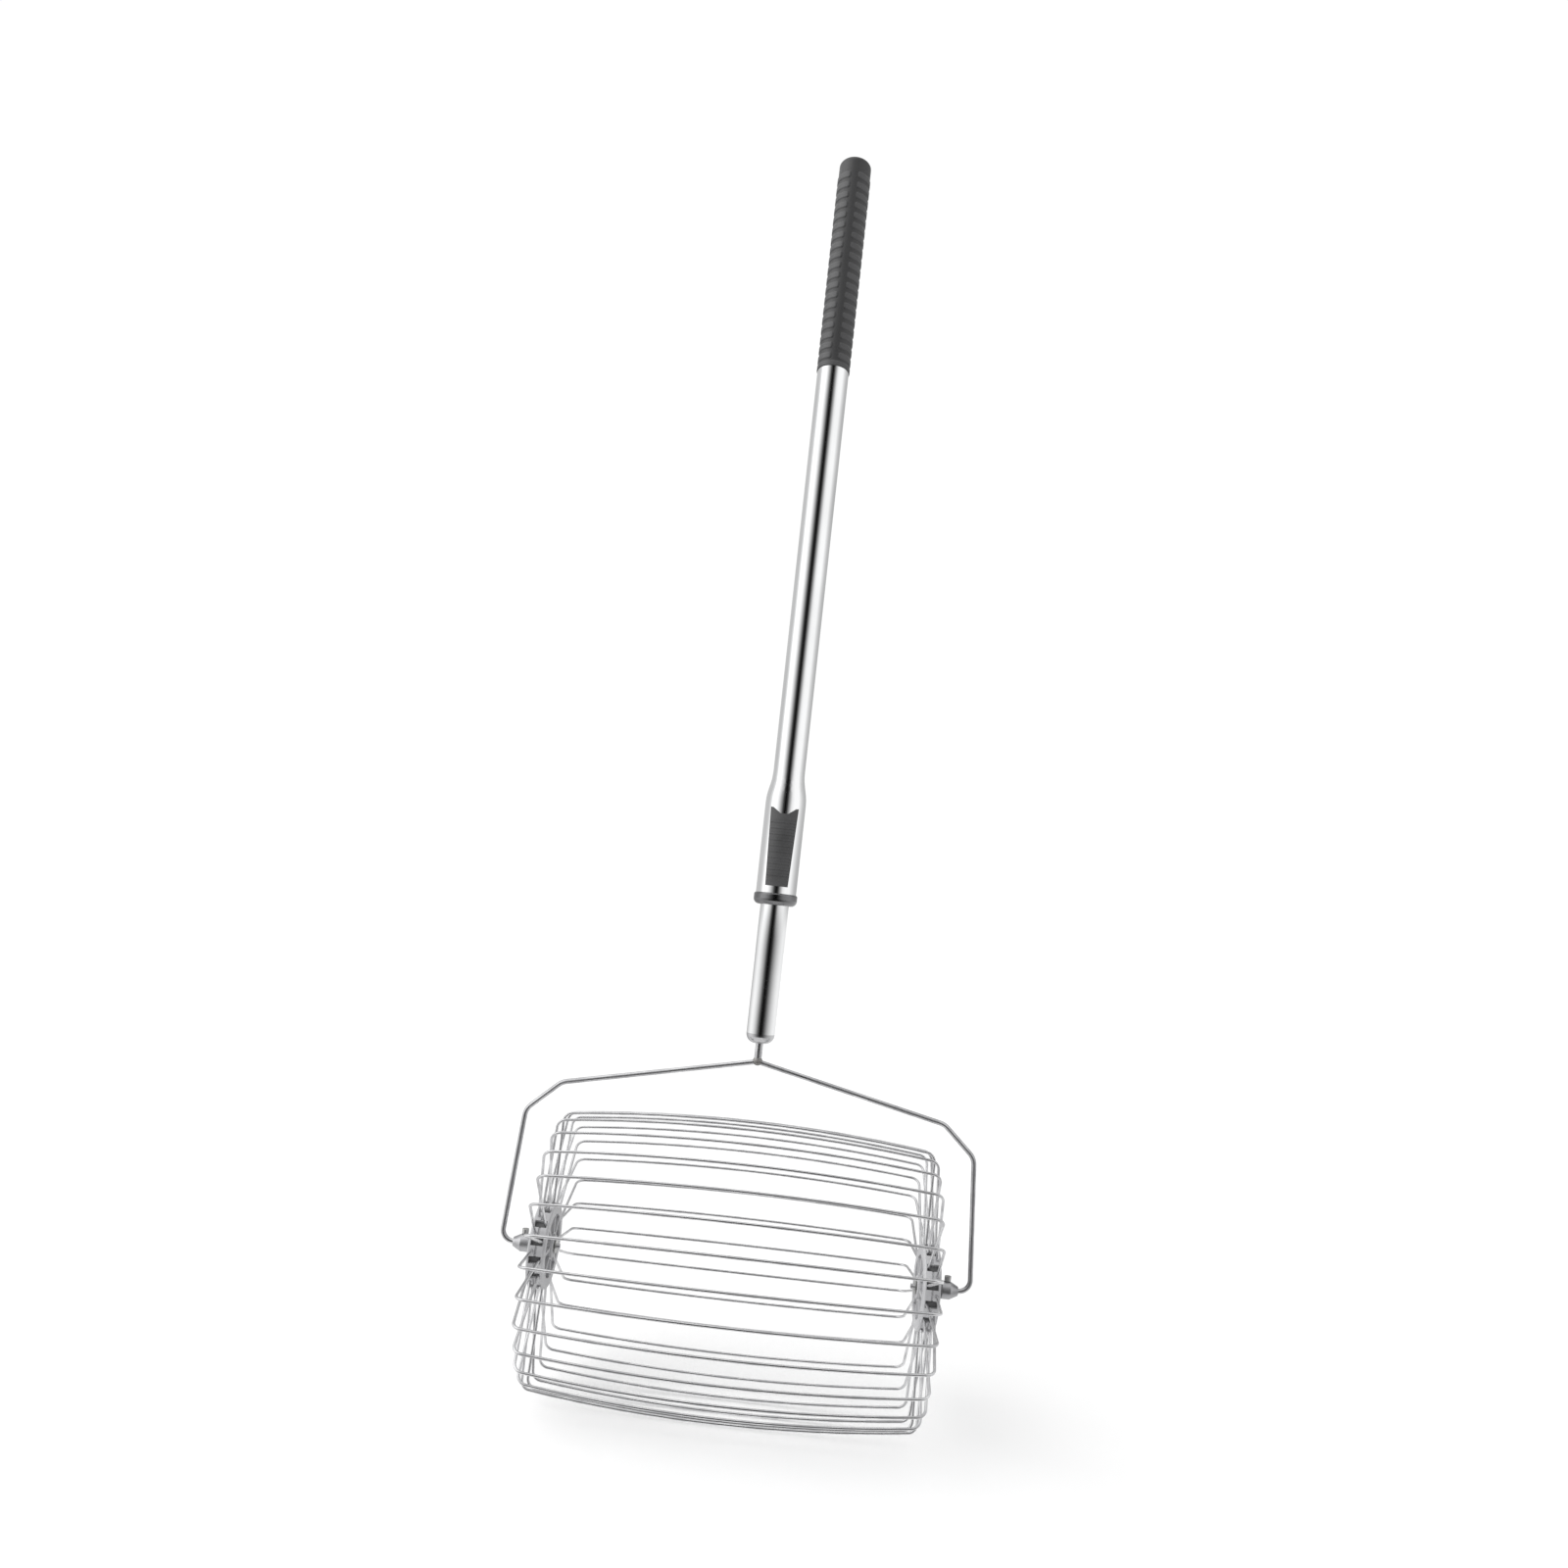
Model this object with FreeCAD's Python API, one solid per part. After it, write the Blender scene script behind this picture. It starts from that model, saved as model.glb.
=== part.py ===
"""Rolling nut gatherer: a cage of spring wires that rolls under a yoke on a telescopic pole.

Row frame, millimetres: +X along the cage axle, +Z up along the pole, -Y is the side with the
release button. The origin is on the floor, straight below the middle of the cage.
"""
import FreeCAD, Part
import math
import os

os.makedirs("parts", exist_ok=True)

Vector = FreeCAD.Vector
X_AXIS = Vector(1, 0, 0)
Z_AXIS = Vector(0, 0, 1)

# ---- driving dimensions: cage ----
wire_radius = 1.1
wire_count = 30
rest_turn_deg = -2.3          # how far the first wire is turned from straight up
belly_radius = 113.0          # wire centre line at the middle of the cage
shoulder_radius = 104.0       # wire centre line at the corners
shoulder_x = 148.0
corner_bend_radius = 7.5
hub_x = 151.5
hub_radius = 33.0
hub_half_length = 6.5
socket_row_offset = 3.6       # the wires enter the hub in two rows, this far each side of its middle
socket_depth = 6.0
boss_radius = 9.0
boss_height = 1.6
bush_radius = 5.0
bush_flange_radius = 6.5
bush_flange = 1.0
pocket_depth = 2.4
pocket_outer_radius = 24.5
pocket_count = 8
pocket_rib_half_width = 1.3
core_radius = 30.2            # the dark core under the hub's light shell
core_inner_radius = 27.0
core_half_length = 5.0
window_count = 15             # windows in the hub's rim, which show the core
window_width = 9.4
window_height = 5.8
fixed_gap = 0.05              # glue gap round a wire in its socket

# ---- driving dimensions: yoke and axle ends ----
yoke_radius = 2.0
yoke_apex_height = 162.0      # heights of the yoke and the pole count from the axle
yoke_shoulder = (152.0, 129.0)
yoke_knee = (178.0, 105.0)
yoke_foot_x = 186.0
axle_end_x = 139.0
running_gap = 0.06            # a shaft in its bush
moving_gap = 0.3              # other faces that pass each other

# ---- driving dimensions: pole ----
stem_radius = 3.0
lower_tube_radius = 11.25
lower_tube_wall = 0.8
lower_tube_bottom = 184.5
lower_tube_top = 700.0
end_cap_height = 8.0
upper_tube_radius = 12.5
upper_tube_wall = 0.7
sleeve_radius = 16.0
sleeve_wall = 0.8
collar_bottom = 286.3
collar_radius = 17.2
collar_top = 295.5
flare_bottom = 367.0
flare_top = 392.0
grip_bottom = 712.5
grip_top = 873.0
grip_cap_top = 881.3
grip_radius = 13.1
rib_relief = 0.45
rib_pitch = 8.0
plain_strip_half_width = 3.4  # the smooth strip down the grip's front and back
neck_radius = 11.0            # the upper tube narrows to this inside the grip
neck_slope = 2.0
upper_tube_top = 870.0

# ---- driving dimensions: latch ----
button_bottom = 301.0
button_top = 362.6
button_top_width = 21.8
button_bottom_width = 17.6
button_travel = 4.5
pin_travel = 1.0
groove_width = 5.2
groove_depth = 1.2
notch_pitch = 60.0

spare = 1.0                   # how far a cutting shape reaches past what it cuts
axle_height = belly_radius * math.cos(math.radians(rest_turn_deg)) + wire_radius


def save(node, shape):
    """Writes one sub-part, named after its node."""
    shape.exportStep("parts/" + node + ".step")


def above_axle(shape):
    """Moves a shape drawn with its heights counted from the axle to its place over the floor."""
    return shape.translated(Vector(0, 0, axle_height))


def cylinder_between(start, end, radius):
    """A round bar from one point to another."""
    along = end - start
    return Part.makeCylinder(radius, along.Length, start, along)


def turned_about_z(outline):
    """Turns an outline of (radius, height) points into a solid about the pole's axis."""
    points = [Vector(radius, 0, height) for radius, height in outline]
    face = Part.Face(Part.makePolygon(points + [points[0]]))
    return face.revolve(Vector(0, 0, 0), Z_AXIS, 360)


def turned_about_x(outline):
    """Turns an outline of (radius, x) points into a solid about the cage axle."""
    points = [Vector(x, 0, radius) for radius, x in outline]
    face = Part.Face(Part.makePolygon(points + [points[0]]))
    return face.revolve(Vector(0, 0, 0), X_AXIS, 360)


def box(low, high):
    """A box from its lowest to its highest corner."""
    size = [high[i] - low[i] for i in range(3)]
    return Part.makeBox(size[0], size[1], size[2], Vector(*low))


def pair(left_name, right_name, right_shape):
    """Saves a right-hand piece and its mirror image."""
    save(right_name, above_axle(right_shape))
    save(left_name, above_axle(right_shape.mirror(Vector(0, 0, 0), X_AXIS)))


def arc_edge(centre, radius, start, end):
    """The short arc from start to end about a centre."""
    middle = (start + end) * 0.5 - centre
    middle.normalize()
    return Part.Arc(start, centre + middle * radius, end).toShape()


def bent_path(points, bend_radii):
    """Straight runs through the points, with a tangent arc at each inner point."""
    edges = []
    here = points[0]
    for i in range(1, len(points) - 1):
        back = (points[i - 1] - points[i]).normalize()
        ahead = (points[i + 1] - points[i]).normalize()
        half_angle = back.getAngle(ahead) / 2
        reach = bend_radii[i - 1] / math.tan(half_angle)
        start = points[i] + back * reach
        end = points[i] + ahead * reach
        bisector = (back + ahead).normalize()
        centre = points[i] + bisector * (bend_radii[i - 1] / math.sin(half_angle))
        edges.append(Part.makeLine(here, start))
        edges.append(arc_edge(centre, bend_radii[i - 1], start, end))
        here = end
    edges.append(Part.makeLine(here, points[-1]))
    return edges


def swept_wire(edges, radius):
    """A round wire along a path of tangent edges."""
    path = Part.Wire(edges)
    first = edges[0]
    start = first.valueAt(first.FirstParameter)
    direction = first.tangentAt(first.FirstParameter)
    section = Part.Wire([Part.makeCircle(radius, start, direction)])
    return path.makePipeShell([section], True, False)


# ---- cage ----
def leg_root(row):
    """Where a wire of one socket row ends inside the right hub, as (x, radius)."""
    return (hub_x + row * socket_row_offset, hub_radius - socket_depth)


def cage_wire(row):
    """One cage wire, standing straight up from the axle: two legs and a long bowed span."""
    sagitta = belly_radius - shoulder_radius
    bow_radius = (shoulder_x ** 2 + sagitta ** 2) / (2 * sagitta)
    bow_centre = Vector(0, 0, belly_radius - bow_radius)
    corner = Vector(shoulder_x, 0, shoulder_radius)
    root_x, root_radius = leg_root(row)
    root = Vector(root_x, 0, root_radius)
    down_leg = (root - corner).normalize()
    inward = Vector(down_leg.z, 0, -down_leg.x)
    offset = corner + inward * corner_bend_radius - bow_centre
    half_b = offset.dot(down_leg)
    room = offset.dot(offset) - (bow_radius - corner_bend_radius) ** 2
    slide = -half_b - math.sqrt(half_b ** 2 - room)
    leg_top = corner + down_leg * slide
    bend_centre = leg_top + inward * corner_bend_radius
    outward = (bend_centre - bow_centre).normalize()
    bow_end = bow_centre + outward * bow_radius

    def mirrored(point):
        return Vector(-point.x, point.y, point.z)

    edges = [
        Part.makeLine(mirrored(root), mirrored(leg_top)),
        arc_edge(mirrored(bend_centre), corner_bend_radius, mirrored(leg_top), mirrored(bow_end)),
        Part.Arc(mirrored(bow_end), Vector(0, 0, belly_radius), bow_end).toShape(),
        arc_edge(bend_centre, corner_bend_radius, bow_end, leg_top),
        Part.makeLine(leg_top, root),
    ]
    return swept_wire(edges, wire_radius)


def wire_angle(index):
    return rest_turn_deg + 360.0 * index / wire_count


def wire_row(index):
    return 1 if index % 2 else -1


def make_cage_wires():
    straight_up = {-1: cage_wire(-1), 1: cage_wire(1)}
    for index in range(wire_count):
        wire = straight_up[wire_row(index)].copy()
        wire.rotate(Vector(0, 0, 0), X_AXIS, wire_angle(index))
        save("cage_wire_%02d" % (index + 1), above_axle(wire))


def wire_sockets():
    """The holes that hold the wires' ends in the right hub."""
    sockets = []
    for index in range(wire_count):
        root_x, root_radius = leg_root(wire_row(index))
        root = Vector(root_x, 0, root_radius)
        corner = Vector(shoulder_x, 0, shoulder_radius)
        outside = root + (corner - root).normalize() * (socket_depth + 3 * spare)
        socket = cylinder_between(root, outside, wire_radius + fixed_gap)
        socket.rotate(Vector(0, 0, 0), X_AXIS, wire_angle(index))
        sockets.append(socket)
    return sockets


def whole_core():
    """The core ring before the wires' sockets are cut in it."""
    return turned_about_x([
        (core_inner_radius, hub_x - core_half_length),
        (core_radius, hub_x - core_half_length),
        (core_radius, hub_x + core_half_length),
        (core_inner_radius, hub_x + core_half_length),
    ])


def right_hub_core():
    return whole_core().cut(wire_sockets())


def right_hub():
    """The light shell round the core: a boss and a ribbed face each side, and windows in its rim."""
    inner = hub_x - hub_half_length
    outer = hub_x + hub_half_length
    rim_chamfer = 1.0
    boss_edge = 0.6
    waist_radius = hub_radius - 1.0
    waist_half_width = 0.8
    pocket_inner_radius = boss_radius + 1.5
    drum = turned_about_x([
        (bush_radius, inner - boss_height),
        (boss_radius - boss_edge, inner - boss_height),
        (boss_radius, inner - boss_height + boss_edge),
        (boss_radius, inner),
        (hub_radius - rim_chamfer, inner),
        (hub_radius, inner + rim_chamfer),
        (hub_radius, hub_x - waist_half_width),
        (waist_radius, hub_x - waist_half_width),
        (waist_radius, hub_x + waist_half_width),
        (hub_radius, hub_x + waist_half_width),
        (hub_radius, outer - rim_chamfer),
        (hub_radius - rim_chamfer, outer),
        (boss_radius, outer),
        (boss_radius, outer + boss_height - boss_edge),
        (boss_radius - boss_edge, outer + boss_height),
        (bush_radius, outer + boss_height),
    ])
    windows = []
    for index in range(window_count):
        window = box((hub_x - window_width / 2, -window_height / 2, core_radius - spare),
                     (hub_x + window_width / 2, window_height / 2, hub_radius + spare))
        window.rotate(Vector(0, 0, 0), X_AXIS, rest_turn_deg + 360.0 * index / window_count)
        windows.append(window)
    pockets = []
    for face, deep in ((outer, outer - pocket_depth), (inner, inner + pocket_depth)):
        low = min(face, deep)
        high = max(face, deep)
        ring = turned_about_x([
            (pocket_inner_radius, low),
            (pocket_outer_radius, low),
            (pocket_outer_radius, high),
            (pocket_inner_radius, high),
        ])
        for index in range(pocket_count):
            rib = box((low - spare, -pocket_rib_half_width, 0),
                      (high + spare, pocket_rib_half_width, hub_radius))
            rib.rotate(Vector(0, 0, 0), X_AXIS, 360.0 * index / pocket_count)
            ring = ring.cut(rib)
        pockets.append(ring)
    return drum.cut(wire_sockets() + windows + pockets + [whole_core()])


def right_hub_bush():
    """The liner that turns on the axle end, with a thin flange against the thrust washer."""
    inner = hub_x - hub_half_length - boss_height
    outer = hub_x + hub_half_length + boss_height
    bore = yoke_radius + running_gap
    return turned_about_x([
        (bore, inner),
        (bush_radius, inner),
        (bush_radius, outer),
        (bush_flange_radius, outer),
        (bush_flange_radius, outer + bush_flange),
        (bore, outer + bush_flange),
    ])


# ---- yoke and axle ends ----
def yoke_points():
    right = [
        Vector(axle_end_x, 0, 0),
        Vector(yoke_foot_x, 0, 0),
        Vector(yoke_knee[0], 0, yoke_knee[1]),
        Vector(yoke_shoulder[0], 0, yoke_shoulder[1]),
    ]
    left = [Vector(-point.x, 0, point.z) for point in right]
    return left + [Vector(0, 0, yoke_apex_height)] + right[::-1]


def yoke_wire():
    foot_bend = 9.0
    knee_bend = 13.0
    shoulder_bend = 14.0
    apex_bend = 9.0
    half = [foot_bend, knee_bend, shoulder_bend]
    return swept_wire(bent_path(yoke_points(), half + [apex_bend] + half[::-1]), yoke_radius)


hub_end_x = hub_x + hub_half_length + boss_height + bush_flange
washer_thickness = 1.2
sleeve_start_x = hub_end_x + moving_gap + washer_thickness
sleeve_end_x = 176.1
sleeve_radius_out = 7.0
sleeve_taper = 6.5
sleeve_tip_radius = 3.6
sleeve_edge = 1.2
screw_x = 167.5
screw_radius = 1.5


def right_stop_sleeve():
    """A turned sleeve fixed on the yoke's inward end, narrower towards the yoke."""
    body = turned_about_x([
        (yoke_radius, sleeve_start_x),
        (sleeve_radius_out - sleeve_edge, sleeve_start_x),
        (sleeve_radius_out, sleeve_start_x + sleeve_edge),
        (sleeve_radius_out, sleeve_end_x - sleeve_taper),
        (sleeve_tip_radius, sleeve_end_x),
        (yoke_radius, sleeve_end_x),
    ])
    hole = cylinder_between(Vector(screw_x, 0, 0), Vector(screw_x, 0, sleeve_radius_out * 2), screw_radius)
    return body.cut(hole)


def right_set_screw(yoke):
    """The screw that clamps the sleeve to the yoke, its slotted head standing up."""
    head_radius = 2.6
    head_bottom = sleeve_radius_out + 0.6
    head_top = head_bottom + 3.4
    slot_half_width = 0.4
    slot_depth = 1.2
    slot_reach = head_radius + spare
    shank = cylinder_between(Vector(screw_x, 0, 0), Vector(screw_x, 0, head_bottom), screw_radius)
    head = Part.makeCylinder(head_radius, head_top - head_bottom, Vector(screw_x, 0, head_bottom), Z_AXIS)
    slot = box((screw_x - slot_reach, -slot_half_width, head_top - slot_depth),
               (screw_x + slot_reach, slot_half_width, head_top + spare))
    return shank.fuse(head).cut([slot, yoke]).removeSplitter()


def right_thrust_washer():
    start = hub_end_x + moving_gap
    end = start + washer_thickness
    return turned_about_x([
        (yoke_radius, start),
        (bush_flange_radius, start),
        (bush_flange_radius, end),
        (yoke_radius, end),
    ])


def right_axle_clip():
    """The push-on clip that keeps the hub on the axle end, inside the cage."""
    collar = 4.0
    rim = 5.6
    front = hub_x - hub_half_length - boss_height - moving_gap
    back = front - 1.0
    rim_front = front - 0.5
    rim_back = front - 1.3
    return turned_about_x([
        (yoke_radius, front),
        (collar, front),
        (rim, rim_front),
        (rim, rim_back),
        (collar, back),
        (yoke_radius, back),
    ])


# ---- lower pole ----
def stem(yoke):
    """The short bar that joins the lower tube to the top of the yoke."""
    length_in_tube = 12.0
    top = lower_tube_bottom + length_in_tube
    bar = Part.makeCylinder(stem_radius, top - yoke_apex_height, Vector(0, 0, yoke_apex_height), Z_AXIS)
    return bar.cut(yoke)


def weld_bead(yoke, stem_bar):
    """The fillet of weld round the joint of the stem and the yoke."""
    bead_radius = 3.8
    bead_height = yoke_apex_height + 0.6
    bead = Part.makeSphere(bead_radius, Vector(0, 0, bead_height))
    whole_stem = Part.makeCylinder(stem_radius, 2 * bead_radius, Vector(0, 0, yoke_apex_height), Z_AXIS)
    bead = bead.cut([yoke, stem_bar, whole_stem])
    return max(bead.Solids, key=lambda solid: solid.Volume)


def lower_end_cap():
    """The closed, tapered bottom of the lower tube, with a plug that reaches up inside it."""
    inside = lower_tube_radius - lower_tube_wall
    bottom = lower_tube_bottom - end_cap_height
    plug_top = lower_tube_bottom + 14.0
    side_fullness = 0.6
    end_fullness = 0.72
    dome = Part.BezierCurve()
    dome.setPoles([
        Vector(lower_tube_radius, 0, lower_tube_bottom),
        Vector(lower_tube_radius, 0, lower_tube_bottom - side_fullness * end_cap_height),
        Vector(end_fullness * lower_tube_radius, 0, bottom),
        Vector(stem_radius, 0, bottom),
    ])
    corners = [
        Vector(stem_radius, 0, bottom),
        Vector(stem_radius, 0, plug_top),
        Vector(inside, 0, plug_top),
        Vector(inside, 0, lower_tube_bottom),
        Vector(lower_tube_radius, 0, lower_tube_bottom),
    ]
    edges = [Part.makeLine(corners[i], corners[i + 1]) for i in range(len(corners) - 1)]
    edges.append(dome.toShape())
    return Part.Face(Part.Wire(edges)).revolve(Vector(0, 0, 0), Z_AXIS, 360)


def lower_tube():
    """The inner tube: plain where it shows, with a pressed lock groove on the stretch above."""
    inside = lower_tube_radius - lower_tube_wall
    length = lower_tube_top - lower_tube_bottom
    foot = Vector(0, 0, lower_tube_bottom)
    outer = Part.makeCylinder(lower_tube_radius, length, foot, Z_AXIS)
    tube = outer.cut(Part.makeCylinder(inside, length, foot, Z_AXIS))
    groove_bottom = collar_top + 4.5
    groove_end = lower_tube_top - 12.0
    half = groove_width / 2
    floor_y = -(lower_tube_radius - groove_depth)
    groove = box((-half, -lower_tube_radius - spare, groove_bottom), (half, floor_y, groove_end))
    channel = box((-half - lower_tube_wall, -lower_tube_radius, groove_bottom - lower_tube_wall),
                  (half + lower_tube_wall, floor_y + lower_tube_wall, groove_end + lower_tube_wall))
    tube = tube.fuse(channel.common(outer)).cut(groove)
    notches = []
    notch_height = 5.0
    notch_half_width = 2.1
    level = 0
    while pin_height + level * notch_pitch < groove_end - notch_pitch / 2:
        centre = pin_height + level * notch_pitch
        low = centre - notch_height / 2
        notches.append(box((-notch_half_width, floor_y - spare, low),
                           (notch_half_width, floor_y + lower_tube_wall + spare, low + notch_height)))
        level += 1
    return tube.cut(notches).removeSplitter()


def guide_plug():
    """The plastic plug in the lower tube's top, which slides in the upper tube."""
    inside = lower_tube_radius - lower_tube_wall
    flange = upper_tube_radius - upper_tube_wall - moving_gap
    bore = 4.0
    edge = 1.0
    bottom = lower_tube_top - 10.0
    top = grip_bottom - 0.6
    return turned_about_z([
        (bore, bottom),
        (inside, bottom),
        (inside, lower_tube_top),
        (flange, lower_tube_top),
        (flange, top - edge),
        (flange - edge, top),
        (bore, top),
    ])


# ---- handle ----
def tube_outline_edges(shrink_sleeve, shrink_tube):
    """One side of the upper tube's outline, from the sleeve's mouth up to the neck's top."""
    sleeve = sleeve_radius - shrink_sleeve
    tube = upper_tube_radius - shrink_tube
    neck = neck_radius - shrink_tube
    flare_softness = 0.4
    blend = (flare_top - flare_bottom) * flare_softness
    flare = Part.BezierCurve()
    flare.setPoles([
        Vector(sleeve, 0, flare_bottom),
        Vector(sleeve, 0, flare_bottom + blend),
        Vector(tube, 0, flare_top - blend),
        Vector(tube, 0, flare_top),
    ])
    neck_end = Vector(neck, 0, grip_bottom + neck_slope)
    return [
        Part.makeLine(Vector(sleeve, 0, collar_top), Vector(sleeve, 0, flare_bottom)),
        flare.toShape(),
        Part.makeLine(Vector(tube, 0, flare_top), Vector(tube, 0, grip_bottom)),
        Part.makeLine(Vector(tube, 0, grip_bottom), neck_end),
        Part.makeLine(neck_end, Vector(neck, 0, upper_tube_top)),
    ]


window_half_width = 4.0
window_bottom = 334.0
window_top = 349.0
pin_height = 329.5


def upper_tube():
    """The outer tube, swelling into the sleeve that holds the latch, necked under the grip."""
    outside = tube_outline_edges(0, 0)
    inside = tube_outline_edges(sleeve_wall, upper_tube_wall)
    mouth = Part.makeLine(Vector(sleeve_radius - sleeve_wall, 0, collar_top),
                          Vector(sleeve_radius, 0, collar_top))
    top = Part.makeLine(Vector(neck_radius - upper_tube_wall, 0, upper_tube_top),
                        Vector(neck_radius, 0, upper_tube_top))
    outline = Part.Wire(Part.__sortEdges__(outside + inside + [mouth, top]))
    shell = Part.Face(outline).revolve(Vector(0, 0, 0), Z_AXIS, 360)
    window = box((-window_half_width, -sleeve_radius - spare, window_bottom),
                 (window_half_width, -lower_tube_radius, window_top))
    return shell.cut(window)


def collar_ring():
    """The ring that closes the sleeve's mouth, rounded like a bumper round its outside."""
    bore = lower_tube_radius + moving_gap
    top_edge = 1.6
    bottom_edge = 4.4
    slant = math.sqrt(0.5)
    corners = [
        Vector(collar_radius - bottom_edge, 0, collar_bottom),
        Vector(bore, 0, collar_bottom),
        Vector(bore, 0, collar_top),
        Vector(collar_radius - top_edge, 0, collar_top),
    ]
    top_rim = Vector(collar_radius, 0, collar_top - top_edge)
    bottom_rim = Vector(collar_radius, 0, collar_bottom + bottom_edge)
    top_knee = Vector(collar_radius - top_edge * (1 - slant), 0, collar_top - top_edge * (1 - slant))
    bottom_knee = Vector(collar_radius - bottom_edge * (1 - slant), 0,
                         collar_bottom + bottom_edge * (1 - slant))
    edges = [Part.makeLine(corners[i], corners[i + 1]) for i in range(len(corners) - 1)]
    edges.append(Part.Arc(corners[-1], top_knee, top_rim).toShape())
    edges.append(Part.makeLine(top_rim, bottom_rim))
    edges.append(Part.Arc(bottom_rim, bottom_knee, corners[0]).toShape())
    return Part.Face(Part.Wire(edges)).revolve(Vector(0, 0, 0), Z_AXIS, 360)


guide_bush_top = 304.0
housing_top = 360.0
channel_half_width = 4.6
channel_bottom = 306.0
channel_top = 355.0
housing_radius = sleeve_radius - sleeve_wall


def guide_bush():
    """The split ring in the sleeve's mouth that the lower tube runs in."""
    bore = lower_tube_radius + moving_gap
    ring = turned_about_z([
        (bore, collar_top),
        (housing_radius, collar_top),
        (housing_radius, guide_bush_top),
        (bore, guide_bush_top),
    ])
    split_half_width = 0.5
    return ring.cut(box((-split_half_width, 0, collar_top - spare),
                        (split_half_width, sleeve_radius, guide_bush_top + spare)))


def latch_housing():
    """The moulded liner of the sleeve, with a channel at the front for the latch."""
    clearance = 0.45
    bore = lower_tube_radius + clearance
    ring = turned_about_z([
        (bore, guide_bush_top),
        (housing_radius, guide_bush_top),
        (housing_radius, housing_top),
        (bore, housing_top),
    ])
    channel = box((-channel_half_width, -sleeve_radius, channel_bottom),
                  (channel_half_width, 0, channel_top))
    return ring.cut(channel)


ramp_slope = pin_travel / button_travel
foot_half_width = 3.8
neck_half_width = 3.5
leg_inner_x = 2.3
leg_back_y = -11.3            # the lower tube curves away here, so the legs clear it by 0.3 mm
leg_front_y = -14.3
crossbar_bottom = 321.5
crossbar_top = 323.0
crossbar_front_y = -13.9
ramp_bottom = 327.0
ramp_top = 337.2
neck_bottom = 339.0
foot_top = 348.0
pin_head_half_height = 1.5
pin_head_front_y = -13.3
ramp_reference_y = -12.4      # where the ramps are, a little above the middle of the resting pin
ramp_reference_height = pin_height + 0.5


def ramp_y(height):
    """The sloping faces that lift the lock pin, at a height, with the button at rest."""
    return ramp_reference_y - ramp_slope * (height - ramp_reference_height)


def profile_across(points, half_width):
    """Extrudes an outline of (y, z) points across the pole, both ways from its middle."""
    loop = [Vector(-half_width, y, z) for y, z in points]
    face = Part.Face(Part.makePolygon(loop + [loop[0]]))
    return face.extrude(Vector(2 * half_width, 0, 0))


def release_button():
    """The slide on the sleeve's front: a curved plate, finger ribs, and a forked foot inside."""
    plate_inner = sleeve_radius + moving_gap
    plate_thickness = 1.6
    plate_outer = plate_inner + plate_thickness
    height = button_top - button_bottom
    foot_of_plate = Vector(0, 0, button_bottom)
    shell = Part.makeCylinder(plate_outer, height, foot_of_plate, Z_AXIS)
    shell = shell.cut(Part.makeCylinder(plate_inner, height, foot_of_plate, Z_AXIS))
    rib_count = 10
    rib_height = 1.6
    rib_stands_out = 0.45
    rib_spacing = 4.6
    first_rib = button_bottom + 8.0
    for index in range(rib_count):
        rib_foot = Vector(0, 0, first_rib + index * rib_spacing)
        rib = Part.makeCylinder(plate_outer + rib_stands_out, rib_height, rib_foot, Z_AXIS)
        rib = rib.cut(Part.makeCylinder(plate_inner, rib_height, rib_foot, Z_AXIS))
        shell = shell.fuse(rib)
    notch_depth = 5.0
    notch_floor = 3.2
    front = [
        (-button_bottom_width / 2, button_bottom),
        (button_bottom_width / 2, button_bottom),
        (button_top_width / 2, button_top),
        (notch_floor, button_top - notch_depth),
        (-notch_floor, button_top - notch_depth),
        (-button_top_width / 2, button_top),
    ]
    loop = [Vector(x, -plate_outer - spare, z) for x, z in front]
    prism = Part.Face(Part.makePolygon(loop + [loop[0]])).extrude(Vector(0, plate_outer, 0))
    plate = shell.common(prism)
    neck = box((-neck_half_width, -plate_inner - plate_thickness / 2, neck_bottom),
               (neck_half_width, leg_front_y, foot_top))
    legs_outline = [
        (leg_back_y, crossbar_top),
        (crossbar_front_y, crossbar_top),
        (crossbar_front_y, ramp_bottom),
        (ramp_y(ramp_bottom), ramp_bottom),
        (ramp_y(ramp_top), ramp_top),
        (leg_front_y, ramp_top),
        (leg_front_y, foot_top),
        (leg_back_y, foot_top),
    ]
    legs = profile_across(legs_outline, foot_half_width)
    gap = box((-leg_inner_x, -sleeve_radius, crossbar_bottom), (leg_inner_x, 0, ramp_top))
    crossbar_back_y = leg_back_y - 0.2
    crossbar = box((-foot_half_width, crossbar_front_y, crossbar_bottom),
                   (foot_half_width, crossbar_back_y, crossbar_top))
    return plate.fuse([neck, legs.cut(gap), crossbar]).removeSplitter()


def lock_pin():
    """The radial pin: its tip runs in the lower tube's groove, its head sits on the ramps."""
    head_bottom = pin_height - pin_head_half_height
    head_top = pin_height + pin_head_half_height
    tip_y = -(lower_tube_radius - groove_depth + moving_gap)
    stem_half_width = 1.9
    shank = box((-stem_half_width, pin_head_front_y, head_bottom), (stem_half_width, tip_y, head_top))
    head = profile_across([
        (pin_head_front_y, head_bottom),
        (ramp_y(head_bottom) - moving_gap, head_bottom),
        (ramp_y(head_top) - moving_gap, head_top),
        (pin_head_front_y, head_top),
    ], foot_half_width)
    return shank.fuse(head).removeSplitter()


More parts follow.
